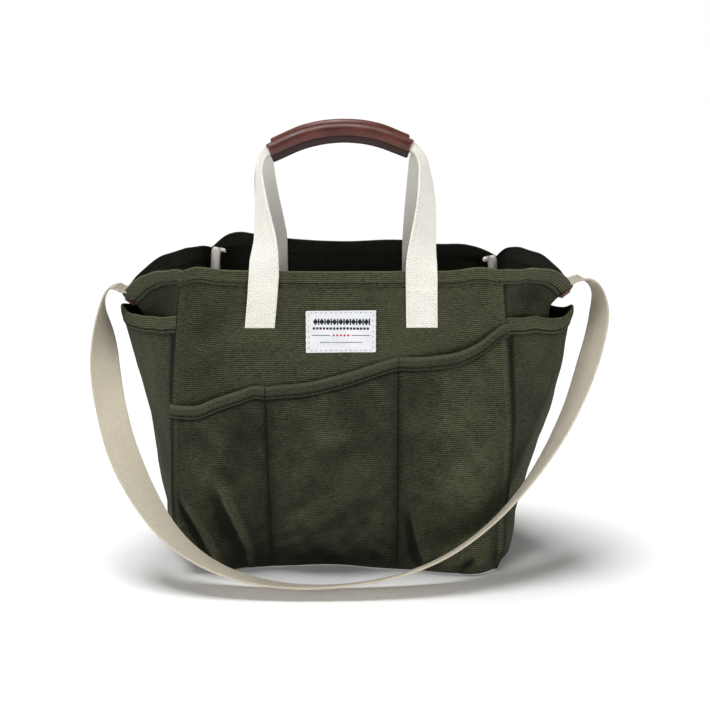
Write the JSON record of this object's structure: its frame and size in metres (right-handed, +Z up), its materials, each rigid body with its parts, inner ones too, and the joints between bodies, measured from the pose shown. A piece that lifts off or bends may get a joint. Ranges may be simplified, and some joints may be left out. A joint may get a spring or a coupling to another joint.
{
  "type": "garden tool bag",
  "caption": "Open-topped canvas tool bag with pockets all round, two webbing carry handles with leather grips, and a webbing shoulder strap.",
  "frame": {"origin": "centre of the base on the ground", "axes": "+X to the bag's right seen from the front, +Y from front to back, +Z up"},
  "size_m": [0.5332, 0.2551, 0.462],
  "materials": {
    "canvas": "matte ribbed cotton duck, olive green",
    "binding_tape": "matte twill tape, olive green",
    "seam_tape": "matte cotton tape, cream",
    "label_cloth": "woven label, white",
    "webbing": "herringbone cotton webbing, natural cream",
    "leather": "smooth waxed leather, burgundy brown"
  },
  "bodies": {
    "bag": {"front_panel": "canvas", "back_panel": "canvas", "base_panel": "canvas", "right_gusset": "canvas", "left_gusset": "canvas", "right_side_pocket": "canvas", "left_side_pocket": "canvas", "front_pocket": "canvas", "back_pocket": "canvas", "front_pocket_binding": "binding_tape", "back_pocket_binding": "binding_tape", "right_seam_binding": "seam_tape", "left_seam_binding": "seam_tape", "label": "label_cloth", "front_handle_anchor_right": "webbing", "front_handle_anchor_left": "webbing", "back_handle_anchor_right": "webbing", "back_handle_anchor_left": "webbing", "right_strap_end": "webbing", "left_strap_end": "webbing", "right_leather_tab": "leather", "left_leather_tab": "leather"},
    "front_handle": {"front_handle_webbing": "webbing", "front_grip": "leather"},
    "back_handle": {"back_handle_webbing": "webbing", "back_grip": "leather"},
    "shoulder_strap": {"shoulder_strap": "webbing"}
  },
  "joints": [
    {"name": "front_handle_swing", "type": "hinge", "parent": "bag", "child": "front_handle", "pos_m": [0, -0.084, 0.315], "axis": [1, 0, 0], "range_deg": [0, 160]},
    {"name": "back_handle_swing", "type": "hinge", "parent": "bag", "child": "back_handle", "pos_m": [0, 0.0795, 0.317], "axis": [-1, 0, 0], "range_deg": [0, 118]},
    {"name": "shoulder_strap_swing", "type": "hinge", "parent": "bag", "child": "shoulder_strap", "pos_m": [0, 0, 0.288], "axis": [-1, 0, 0], "range_deg": [0, 153]}
  ]
}
